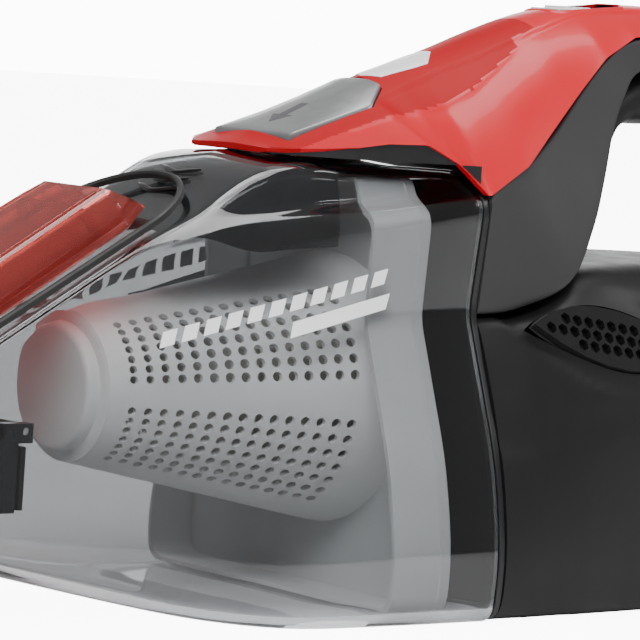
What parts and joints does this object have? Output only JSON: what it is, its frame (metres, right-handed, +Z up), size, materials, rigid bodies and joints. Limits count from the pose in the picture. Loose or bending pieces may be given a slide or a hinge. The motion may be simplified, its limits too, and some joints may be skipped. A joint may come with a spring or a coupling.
{
  "type": "handheld vacuum",
  "caption": "Cordless handheld vacuum with a smoked clear dirt cup, flip-over crevice tool, red top cover, perforated filter shroud and a closed loop handle.",
  "frame": {"origin": "middle of the footprint, on the flat base that the vacuum stands on", "axes": "+X towards the tail of the handle, +Z up; the left half is at +Y and the nozzle points along -X"},
  "size_m": [0.415, 0.1252, 0.1812],
  "materials": {
    "smoked_clear": "clear smoked polycarbonate, polished",
    "red_clear": "translucent red plastic, polished",
    "red_gloss": "high gloss red",
    "silver_paint": "metallic silver paint, satin",
    "charcoal_plastic": "fine moulded texture, satin",
    "panel_grey": "fine moulded texture, satin",
    "vent_plastic": "satin",
    "grip_rubber": "soft touch",
    "black_plastic": "satin",
    "black_rubber": "matt",
    "pale_plastic": "satin, slightly translucent",
    "filter_paper": "pleated paper",
    "white_plastic": "gloss",
    "dark_nylon": "fibre filled, matt",
    "steel": "bright",
    "zinc_steel": "zinc plated",
    "cell_wrap": "shrink wrap",
    "board_green": "solder mask",
    "light_pipe": "clear light pipe"
  },
  "bodies": {
    "main": {"cup_seal": "black_rubber", "front_bulkhead": "black_plastic", "top_cover": "red_gloss", "button_spring": "steel", "latch_pin": "steel", "latch_frame": "black_plastic", "switch_module": "black_plastic", "handle_left": "panel_grey", "handle_right": "panel_grey", "grip_liner": "grip_rubber", "body_left": "charcoal_plastic", "body_right": "charcoal_plastic", "vent_grille_left": "vent_plastic", "vent_grille_right": "vent_plastic", "fan_housing": "dark_nylon", "motor_can": "zinc_steel", "motor_ring": "black_rubber", "motor_cradle": "dark_nylon", "battery_cells": "cell_wrap", "cell_carrier": "dark_nylon", "circuit_board": "board_green", "charge_socket": "black_plastic", "charge_light": "light_pipe", "housing_screws": "steel", "tail_plate": "charcoal_plastic"},
    "cup": {"dirt_cup": "smoked_clear", "nozzle_trim": "black_plastic", "recess_rim": "black_rubber", "inlet_duct": "black_plastic", "flap_pin": "steel", "tool_hinge_pin": "steel"},
    "tool": {"crevice_tool": "red_clear"},
    "flap": {"inlet_flap": "black_rubber"},
    "filter": {"filter_flange": "pale_plastic", "filter_shroud": "pale_plastic", "pleated_filter": "filter_paper"},
    "button": {"release_button": "silver_paint"},
    "latch": {"cup_latch": "charcoal_plastic"},
    "switch": {"power_switch": "white_plastic"},
    "rotor": {"impeller": "dark_nylon", "motor_shaft": "steel"}
  },
  "joints": [
    {"name": "cup_slide", "type": "slide", "parent": "main", "child": "cup", "axis": [-1, 0, 0], "range_m": [0, 0.165]},
    {"name": "filter_slide", "type": "slide", "parent": "cup", "child": "filter", "axis": [1, 0, 0], "range_m": [0, 0.121]},
    {"name": "tool_flip", "type": "hinge", "parent": "cup", "child": "tool", "pos_m": [-0.20263, 0, 0.05457], "axis": [0, -1, 0], "range_deg": [0, 150]},
    {"name": "flap_swing", "type": "hinge", "parent": "cup", "child": "flap", "pos_m": [-0.1356, 0, 0.0522], "axis": [0, -1, 0], "range_deg": [0, 50], "stiffness_Nm_per_rad": 0.02},
    {"name": "button_press", "type": "slide", "parent": "main", "child": "button", "axis": [0, 0, -1], "range_m": [0, 0.002], "stiffness_N_per_m": 800, "springref_m": -0.001, "deforming": ["button_spring"]},
    {"name": "latch_turn", "type": "hinge", "parent": "main", "child": "latch", "pos_m": [-0.0295, 0, 0.134], "axis": [0, 1, 0], "range_deg": [0, 8.9], "stiffness_Nm_per_rad": 0.05},
    {"name": "switch_slide", "type": "slide", "parent": "main", "child": "switch", "axis": [1, 0, 0], "range_m": [0, 0.005]},
    {"name": "fan_spin", "type": "hinge", "parent": "main", "child": "rotor", "pos_m": [0.016, 0, 0.043], "axis": [1, 0, 0], "continuous": true}
  ],
  "couplings": [
    {"joint": "filter_slide", "follows": "cup_slide", "ratio": 0.73},
    {"joint": "latch_turn", "follows": "button_press", "rad_per_m": 76.9}
  ]
}
